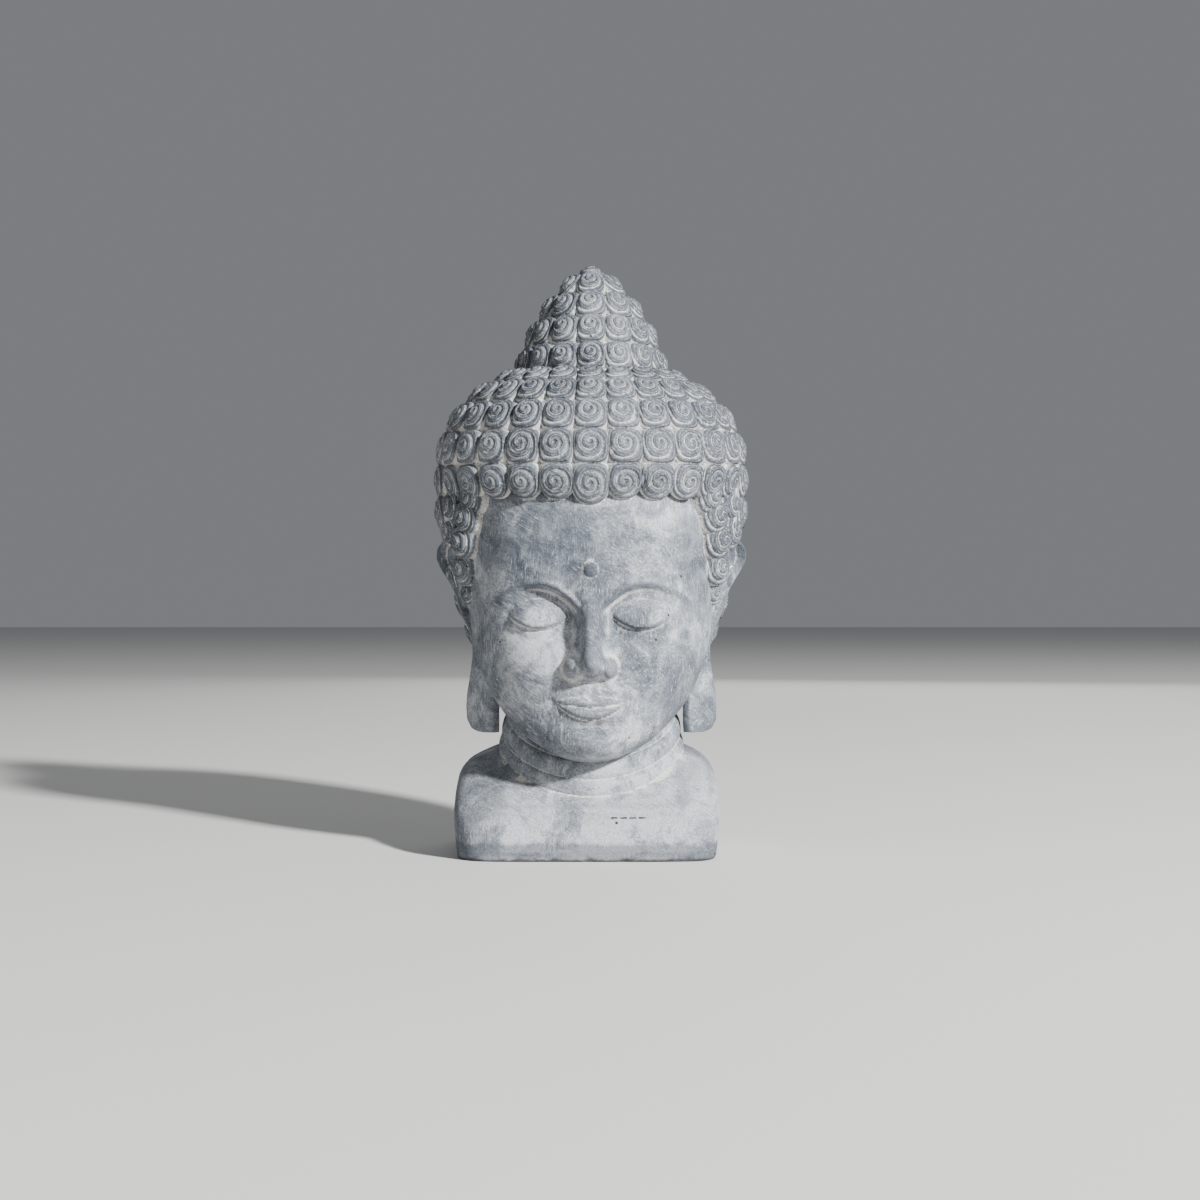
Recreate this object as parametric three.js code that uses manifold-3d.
// A garden statue: the head of a meditating Buddha on a squared shoulder block, cast in one piece.
//
// Millimetres, +Z up. The face looks along -Y, +X is to the right of someone facing it, and the origin
// is under the middle of the foot. Every form below is a closed solid, and all of them are joined into
// one body, because the real head comes out of its mould as a single casting.
import * as THREE from "three";
import { mergeVertices } from "three/addons/utils/BufferGeometryUtils.js";
import Module from "manifold-3d";

const wasm = await Module();
wasm.setup();

const { clamp, degToRad, lerp, smoothstep } = THREE.MathUtils;

// ---- Driving dimensions -----------------------------------------------------------------------------

const HEIGHT = 600; // foot to the tip of the topmost curl
const CHIN_Z = 95; // underside of the chin
const HAIRLINE_Z = 350; // front edge of the hair
const FACE_WIDTH = 248; // over the cheekbones
const FACE_FRONT = -124; // y of the flat of the face
const NOSE_LENGTH = 36; // how far the tip of the nose stands off the face

// The face is laid out by thirds: hairline to brow, brow to the foot of the nose, and on to the chin.
const THIRD = (HAIRLINE_Z - CHIN_Z) / 3;
const BROW_Z = HAIRLINE_Z - THIRD;
const NOSE_Z = BROW_Z - THIRD;
const MOUTH_Z = NOSE_Z - THIRD / 3;
const EYE_Z = BROW_Z - 0.36 * THIRD;
const EYE_WIDTH = FACE_WIDTH / 5; // the face is five eyes wide
const EYE_X = EYE_WIDTH; // and one eye lies between the two

// The mass of the hair, over the curls: half-ellipsoids that meet at the level of the temples.
const HAIR = { y: 10, z: 383, side: 163, front: 147, back: 150, up: 122, down: 265, power: 2.2, dip: 9 };
const CURL = { height: 12 };
const CROWN_Z = 482; // the crease around the foot of the topknot

const EAR = { top: 320, bottom: 119, flare: 42, thickness: 13, y: -6 };
const NECK = { side: 93, front: 84, back: 80, y: 4 };
const BLOCK = { width: 264, depth: 200, x: -4, neckZ: 104, frontZ: 54 }; // it sits a little off the middle

// ---- Small helpers ----------------------------------------------------------------------------------

/** A bell that is 1 at u = 0 and falls off smoothly on both sides. */
const bell = (u) => Math.exp(-u * u);

/** Half-width, as a share, of an oval of the given power at a share t of its half-height. */
const oval = (t, power = 2) => Math.pow(Math.max(0, 1 - Math.pow(Math.abs(t), power)), 1 / power);

/** A cosine or sine with its sign kept, bent so that a circle made from it squares off. */
const squared = (value, power) => Math.sign(value) * Math.pow(Math.abs(value), 2 / power);

/** The value at a share from 0 to 1 along a list of values, straight between them. */
function along(values, share) {
  const place = clamp(share, 0, 1) * (values.length - 1);
  const index = Math.min(Math.floor(place + 1e-6), values.length - 2);
  return lerp(values[index], values[index + 1], place - index);
}

/** Rewrites each vertex of a geometry by a function of the vertex and its place on the unrolled grid. */
function reshape(geometry, change) {
  const places = geometry.getAttribute("position");
  const grid = geometry.getAttribute("uv");
  const point = new THREE.Vector3();
  for (let i = 0; i < places.count; i++) {
    point.fromBufferAttribute(places, i);
    change(point, grid.getX(i), grid.getY(i));
    places.setXYZ(i, point.x, point.y, point.z);
  }
  return geometry;
}

/** A closed geometry as a solid that can be joined and cut. */
function solid(geometry) {
  const bare = geometry.clone();
  bare.deleteAttribute("normal");
  bare.deleteAttribute("uv");
  const merged = mergeVertices(bare, 1e-3);
  return new wasm.Manifold(
    new wasm.Mesh({
      numProp: 3,
      vertProperties: new Float32Array(merged.getAttribute("position").array),
      triVerts: new Uint32Array(merged.index.array),
    }),
  );
}

/** A solid as a geometry that three.js can draw. */
function drawable(body) {
  const mesh = body.getMesh();
  const geometry = new THREE.BufferGeometry();
  geometry.setAttribute("position", new THREE.BufferAttribute(mesh.vertProperties, 3));
  geometry.setIndex(new THREE.BufferAttribute(mesh.triVerts, 1));
  geometry.computeVertexNormals();
  return geometry;
}

// ---- Features of the face, as heights over its plain oval, a from the middle and z up ---------------

/** Height of the brow arch. */
function browLine(a) {
  const peak = 52;
  const fall = a < peak ? 25 * ((peak - a) / 42) ** 2 : 21 * ((a - peak) / 46) ** 2;
  return BROW_Z + 5 - fall;
}

/** Height of the line where the closed lids meet. */
function lashLine(a) {
  return EYE_Z - 10 + 9 * ((a - EYE_X) / (EYE_WIDTH / 2)) ** 2;
}

/** Height of the line between the lips, turned up a little at its corners. */
function mouthLine(a) {
  return MOUTH_Z - 1.2 * bell(a / 7) + 3.5 * Math.pow(a / 33, 2.2);
}

function nose(a, z) {
  const tip = NOSE_Z + 9;
  const root = NOSE_Z + 112;
  const down = clamp((root - z) / (root - tip), 0, 1);
  const ridge = NOSE_LENGTH * Math.pow(down, 1.15) * smoothstep(z, tip - 12, tip + 1);
  const halfWidth = lerp(14, 7, smoothstep(z, tip, tip + 60));
  const across = 1 - smoothstep(a, 0.4 * halfWidth, 1.75 * halfWidth);
  const wing = 1 - ((a - 17) / 9) ** 2 - ((z - tip) / 10) ** 2;
  return Math.max(ridge * across, 17 * Math.sqrt(Math.max(0, wing)));
}

function eyes(a, z) {
  const brow = browLine(a);
  const ridge = 2 * bell((z - brow) / 4) * (1 - smoothstep(a, 80, 104)) * smoothstep(a, 4, 14);
  const socketDepth = 10 * bell((a - 24) / 34) * smoothstep(a, 6, 16);
  const socket = socketDepth * smoothstep(brow - z, 0, 8) * smoothstep(z, EYE_Z - 34, EYE_Z - 8);
  const dome = 1 - ((a - EYE_X) / 31) ** 2 - ((z - EYE_Z) / 21) ** 2;
  const lid = 12 * Math.pow(Math.max(0, dome), 0.6);
  const shut = smoothstep(z - lashLine(a), -2, 2);
  return ridge - socket + lid * lerp(0.66, 1, shut);
}

function lips(a, z) {
  const reach = 34;
  const line = mouthLine(a);
  const upper = 9.5 * Math.pow(Math.max(0, 1 - Math.pow(a / reach, 1.8)), 0.8) + 1.5 * bell((a - 7) / 4);
  const lower = 12.5 * Math.max(0, 1 - (a / 31) ** 2);
  const up = (z - line) / Math.max(upper, 0.1);
  const down = (line - z) / Math.max(lower, 0.1);
  const cushion = (t) => Math.sqrt(Math.max(0, 1 - (2 * t - 1) ** 2));
  const upperLip = up > 0 && up < 1 ? 5.5 * cushion(0.15 + 0.85 * up) : 0;
  const lowerLip = down > 0 && down < 1 ? 7 * cushion(0.1 + 0.9 * down) : 0;
  const barrel = 6 * bell(a / 38) * bell((z - MOUTH_Z) / 26);
  return barrel + (upperLip + lowerLip) * (1 - smoothstep(a, 26, reach));
}

/** Everything that stands out of, or sinks into, the plain oval of the face. */
function faceRelief(x, z) {
  const a = Math.abs(x);
  const chin = 7 * bell(a / 24) * bell((z - CHIN_Z - 17) / 14);
  const fold = 4 * bell(a / 26) * bell((z - MOUTH_Z + 18) / 7);
  const cheek = 5 * bell((a - 62) / 30) * bell((z - NOSE_Z - 10) / 32);
  const urna = 3.5 * Math.sqrt(Math.max(0, 1 - (a * a + (z - BROW_Z - 9) ** 2) / 64));
  return nose(a, z) + eyes(a, z) + lips(a, z) + chin - fold + cheek + urna;
}

/** The egg of the face and jaw, on a grid whose lines gather at the features. */
function face() {
  const top = HAIRLINE_Z + 50; // hidden in the hair
  const cheekZ = CHIN_Z + 155;
  const levels = [0, 3, 10, 18, 26, 32, 38, 43, 50, 55, 60, 66, 73, 79, 84, 90, 99, 110, 120, 128, 133];
  levels.push(140, 149, 157, 163, 169, 175, 184, 200, 225, 255, top - CHIN_Z);
  const columns = [0, 5, 10, 16, 23, 32, 42, 52, 62, 73, 85, 99, 113, 124];
  const azimuths = columns.map((a) => Math.asin(a / columns.at(-1)));
  const back = [130, 180].map(degToRad);
  const turns = [...azimuths, ...back];
  const around = [...turns.map((t) => -t).reverse(), ...turns.slice(1)];

  const geometry = new THREE.SphereGeometry(1, around.length - 1, levels.length - 1);
  return reshape(geometry, (point, u, v) => {
    const z = CHIN_Z + along(levels, v);
    const azimuth = along(around, u);
    const rise = clamp((z - CHIN_Z) / (cheekZ - CHIN_Z), 0, 1);
    const close = oval(clamp((z - HAIRLINE_Z) / (top - HAIRLINE_Z), 0, 1), 2.4);
    const halfWidth = (FACE_WIDTH / 2) * Math.pow(1 - (1 - rise) ** 2, 0.55) * close;
    const middle = -85 * Math.pow(1 - rise, 1.5);
    const forehead = 14 * smoothstep(z, BROW_Z, top) ** 2;
    const reach = (FACE_FRONT + forehead - middle) * oval(1 - clamp(rise / 0.16, 0, 1)) * close;
    const rear = lerp(65, 100, rise) * oval(1 - clamp(rise / 0.3, 0, 1)) * close;
    const front = Math.cos(azimuth) > 0;
    const x = halfWidth * squared(Math.sin(azimuth), 2.3);
    const y = middle + Math.abs(squared(Math.cos(azimuth), 2.3)) * (front ? reach : rear);
    const facing = front ? Math.pow(Math.cos(azimuth), 0.5) : 0;
    const relief = faceRelief(x, z) * Math.min(1, 2.5 * facing) * oval(1 - clamp(rise / 0.1, 0, 1)) * close;
    point.set(x, y - relief, z);
  });
}

// ---- Hair -------------------------------------------------------------------------------------------

/** Width of the hair mass at a height, as a share of its widest, when it is sunk in by a depth. */
function hairShare(z, depth) {
  const half = z > HAIR.z ? HAIR.up : HAIR.down;
  return oval((z - HAIR.z) / (half - depth), HAIR.power);
}

/** A point on the hair mass, by a row's height at the side and an azimuth from the front, sunk by a depth. */
function hairPoint(height, azimuth, depth = 0) {
  const z = height - HAIR.dip * Math.cos(azimuth) * hairShare(height, depth); // rows run lower at the front
  const share = hairShare(z, depth);
  const x = (HAIR.side - depth) * share * squared(Math.sin(azimuth), 2.15);
  const reach = (Math.cos(azimuth) > 0 ? HAIR.front : HAIR.back) - depth;
  return new THREE.Vector3(x, HAIR.y - reach * share * squared(Math.cos(azimuth), 2.15), z);
}

/** Height of a curl over the grooves around it, as a share, at a place from 0 to 1 each way in its cell. */
function pillow(across, upward) {
  const side = 1 - Math.abs(2 * across - 1) ** 3;
  const end = 1 - Math.abs(2 * upward - 1) ** 3;
  return Math.pow(Math.max(0, side * end), 0.35);
}

/**
 * The rings of points that make one row of curls: the groove under it, then a lower and an upper line over
 * the curls. The row's surface comes from place(upward, azimuth, lift), upward being 0 to 1 in the row.
 */
function curlRow(count, place) {
  const ring = (upward, columns) => {
    const points = [];
    for (let cell = 0; cell < count; cell++) {
      for (const across of columns) {
        const turn = (cell - 0.5 + across) / count; // a curl lies across the front
        points.push({ turn, point: place(upward, 2 * Math.PI * turn, CURL.height * pillow(across, upward)) });
      }
    }
    return points;
  };
  const columns = [0, 0.2, 0.5, 0.8]; // groove, shoulder, crest, shoulder
  return [ring(0, [0.5]), ring(0.24, columns), ring(0.76, columns)];
}

/** A closed skin over rings of points, from the lowest to the highest, with a fan to a tip at each end. */
function skin(rings, bottom, top) {
  const points = [bottom, ...rings.flat().map(({ point }) => point), top];
  const positions = points.flatMap((point) => point.toArray());
  const last = points.length - 1;
  const starts = rings.map((_, i) => 1 + rings.slice(0, i).flat().length);
  const index = (ring, k) => starts[ring] + (k % rings[ring].length);
  const turn = (ring, k) => {
    const { length } = rings[ring];
    return k > length ? Infinity : rings[ring][k % length].turn + (k === length ? 1 : 0);
  };

  const triangles = [];
  rings[0].forEach((_, k) => triangles.push(index(0, k + 1), index(0, k), 0));
  for (let low = 0; low + 1 < rings.length; low++) {
    const high = low + 1;
    for (let i = 0, j = 0; i < rings[low].length || j < rings[high].length; ) {
      if (turn(low, i + 1) <= turn(high, j + 1)) {
        triangles.push(index(low, i), index(low, i + 1), index(high, j));
        i += 1;
      } else {
        triangles.push(index(low, i), index(high, j + 1), index(high, j));
        j += 1;
      }
    }
  }
  const end = rings.length - 1;
  rings[end].forEach((_, k) => triangles.push(index(end, k), index(end, k + 1), last));

  const geometry = new THREE.BufferGeometry();
  geometry.setAttribute("position", new THREE.Float32BufferAttribute(positions, 3));
  return geometry.setIndex(triangles);
}

/** Every row of curls from the nape to the tip, as one closed form. */
function hair() {
  const rings = [];

  // Rows around the skull, between grooves at these heights. The topmost two have fewer curls.
  const grooves = [150, 176, 204, 234, 265, 296, 328, 360, 392, 424, 451, 471, CROWN_Z];
  const counts = [28, 28, 28, 28, 28, 28, 28, 28, 28, 28, 26, 22];
  for (let row = 0; row < counts.length; row++) {
    const place = (upward, azimuth, lift) =>
      hairPoint(lerp(grooves[row], grooves[row + 1], upward), azimuth, CURL.height - lift);
    rings.push(...curlRow(counts[row], place));
  }

  // Rows around the topknot, between grooves at these radii and heights, that step in to its tip.
  const steps = [
    [71, CROWN_Z],
    [65, 509],
    [53, 537],
    [38, 562],
    [19, 584],
  ].map(([radius, z]) => new THREE.Vector2(radius, z));
  const around = (radius, azimuth, z) =>
    new THREE.Vector3(radius * Math.sin(azimuth), HAIR.y - radius * Math.cos(azimuth), z);
  [16, 14, 10, 6].forEach((count, i) => {
    const path = steps[i + 1].clone().sub(steps[i]);
    const out = new THREE.Vector2(path.y, -path.x).normalize();
    const place = (upward, azimuth, lift) => {
      const spot = steps[i].clone().addScaledVector(path, upward).addScaledVector(out, lift);
      return around(spot.x, azimuth, spot.y);
    };
    rings.push(...curlRow(count, place));
  });
  for (const [radius, z] of [[16, 584], [17, 592], [10, 598]]) {
    rings.push([0, 1, 2, 3, 4, 5].map((k) => ({ turn: k / 6, point: around(radius, (Math.PI * k) / 3, z) })));
  }
  const nape = new THREE.Vector3(0, HAIR.y, grooves[0]);
  return skin(rings, nape, new THREE.Vector3(0, HAIR.y, HEIGHT));
}

/** The room in front of the hairline and of the ears, where the hair leaves the face bare. */
function bareFace() {
  const slope = HAIR.dip / HAIR.front;
  const temple = HAIRLINE_Z + 1 + slope * (HAIR.front - HAIR.y - 62);
  const outline = new THREE.Shape();
  outline.moveTo(-300, temple - slope * 238);
  outline.lineTo(-62, temple);
  outline.quadraticCurveTo(-46, temple, -44, temple - 18);
  outline.lineTo(-40, EAR.top + 2);
  outline.lineTo(14, EAR.top - 4);
  outline.lineTo(26, 60);
  outline.lineTo(-300, 60);
  const room = new THREE.ExtrudeGeometry(outline, { depth: 400, bevelEnabled: false, curveSegments: 3 });
  return room.rotateX(Math.PI / 2).rotateZ(Math.PI / 2).translate(-200, 0, 0);
}

/** The locks down each temple in front of the ear: a chain of curls that get smaller. */
function sideLocks() {
  const locks = [
    { z: 339, y: -50, x: 129, radius: 19 },
    { z: 315, y: -36, x: 130, radius: 19 },
    { z: 288, y: -25, x: 128, radius: 17 },
    { z: 265, y: -16, x: 124, radius: 12 },
  ];
  return locks.flatMap(({ z, y, x, radius }) =>
    [-1, 1].map((side) => {
      const boss = new THREE.SphereGeometry(radius, 7, 5).scale(0.85, 1, 1);
      return solid(boss.rotateZ(side * 0.35).translate(side * x, y, z));
    }),
  );
}

// ---- Ears -------------------------------------------------------------------------------------------

/** One ear on the +X side: a long shell with a hollow in its face and a drawn-out lobe. */
function ear() {
  const outline = new THREE.Shape();
  outline.moveTo(0, EAR.bottom + 4);
  outline.lineTo(0, EAR.top - 24);
  outline.quadraticCurveTo(8, EAR.top, 32, EAR.top);
  outline.quadraticCurveTo(60, EAR.top, 61, EAR.top - 20);
  outline.quadraticCurveTo(60, EAR.top - 52, 41, EAR.top - 84);
  outline.quadraticCurveTo(25, EAR.top - 112, 34, EAR.top - 142);
  outline.quadraticCurveTo(43, EAR.top - 168, 41, EAR.bottom + 12);
  outline.quadraticCurveTo(40, EAR.bottom, 28, EAR.bottom);
  outline.lineTo(8, EAR.bottom + 1);
  const plate = new THREE.ExtrudeGeometry(outline, {
    depth: EAR.thickness - 6,
    bevelSize: 3,
    bevelThickness: 3,
    bevelOffset: -3,
    bevelSegments: 1,
    steps: 1,
    curveSegments: 3,
  });
  const hollow = new THREE.SphereGeometry(1, 8, 6);
  hollow.scale(20, 46, 8).rotateZ(degToRad(-9)).translate(30, EAR.top - 58, EAR.thickness + 1);

  // Bend the flat ear onto the head: u runs back and outwards, v up, w out of its face.
  const place = (point) => {
    const flare = degToRad(EAR.flare - 12 * bell((point.y - 268) / 24));
    const root = 98 + 22 * smoothstep(point.y, 205, 300);
    const { x: u, y: v, z: w } = point;
    point.x = root + u * Math.sin(flare) + w * Math.cos(flare);
    point.y = EAR.y + u * Math.cos(flare) - w * Math.sin(flare);
    point.z = v;
  };
  return solid(reshape(plate, place)).subtract(solid(reshape(hollow, place)));
}

// ---- Neck and shoulders -----------------------------------------------------------------------------

/** The neck: an oval column with two soft folds, whose rings dip towards the front. */
function neck() {
  const profile = [
    [0, 60],
    [1, 60],
    [1, 98],
    [0.95, 101],
    [0.985, 106],
    [0.97, 115],
    [0.925, 119],
    [0.96, 125],
    [0.94, 134],
    [0.9, 138],
    [0.9, 175],
    [0, 175],
  ].map(([share, z]) => new THREE.Vector2(share, z));
  return reshape(new THREE.LatheGeometry(profile, 22), (point) => {
    const forward = point.z;
    const reach = forward > 0 ? NECK.front : NECK.back;
    const dip = 26 * forward + 14 * forward * forward;
    point.set(point.x * NECK.side, NECK.y - forward * reach, point.y - dip);
  });
}

/** The shoulder block: rounded corners, a slightly narrower foot, and a top that rises to the neck. */
function block() {
  const heights = [0, 0.04, 0.3, 0.7, 0.88, 0.97, 1];
  const geometry = new THREE.BoxGeometry(2, 2, 1, 8, 6, heights.length - 1);
  return reshape(geometry, (point) => {
    const up = along(heights, point.z + 0.5);
    const edge = Math.max(Math.abs(point.x), Math.abs(point.y));
    const round = Math.pow(Math.abs(point.x) ** 7 + Math.abs(point.y) ** 7, 1 / 7);
    const flat = new THREE.Vector2(point.x, point.y).multiplyScalar(edge / Math.max(round, 1e-9));
    const foot = 1 - 0.016 * (1 - smoothstep(up, 0, 0.4)) - 0.012 * (1 - smoothstep(up, 0, 0.05));
    const crown = oval(clamp((up - 0.82) / 0.4, 0, 1), 2.4);
    flat.multiplyScalar(foot * crown);
    const x = BLOCK.x + (flat.x * BLOCK.width) / 2;
    const y = (flat.y * BLOCK.depth) / 2;
    const outward = smoothstep(Math.abs(x), NECK.side - 10, BLOCK.width / 2);
    const forward = smoothstep(-y, 0, BLOCK.depth / 2 - 5);
    const fall = Math.min(1, outward * 0.2 + forward);
    point.set(x, y, up * lerp(BLOCK.neckZ, BLOCK.frontZ, fall));
  });
}

// ---- The casting ------------------------------------------------------------------------------------

const rightEar = ear();
const ears = [rightEar, rightEar.mirror([1, 0, 0])];
const hairMass = solid(hair()).subtract(solid(bareFace()));
const forms = [solid(face()), hairMass, ...sideLocks(), ...ears, solid(neck()), solid(block())];
const casting = wasm.Manifold.union(forms);

const stone = new THREE.MeshStandardMaterial({ color: 0x9aa1a6, roughness: 0.88, metalness: 0 });
const head = new THREE.Mesh(drawable(casting), stone);
head.name = "buddha_head";

const statue = new THREE.Group();
statue.add(head);

export default statue;
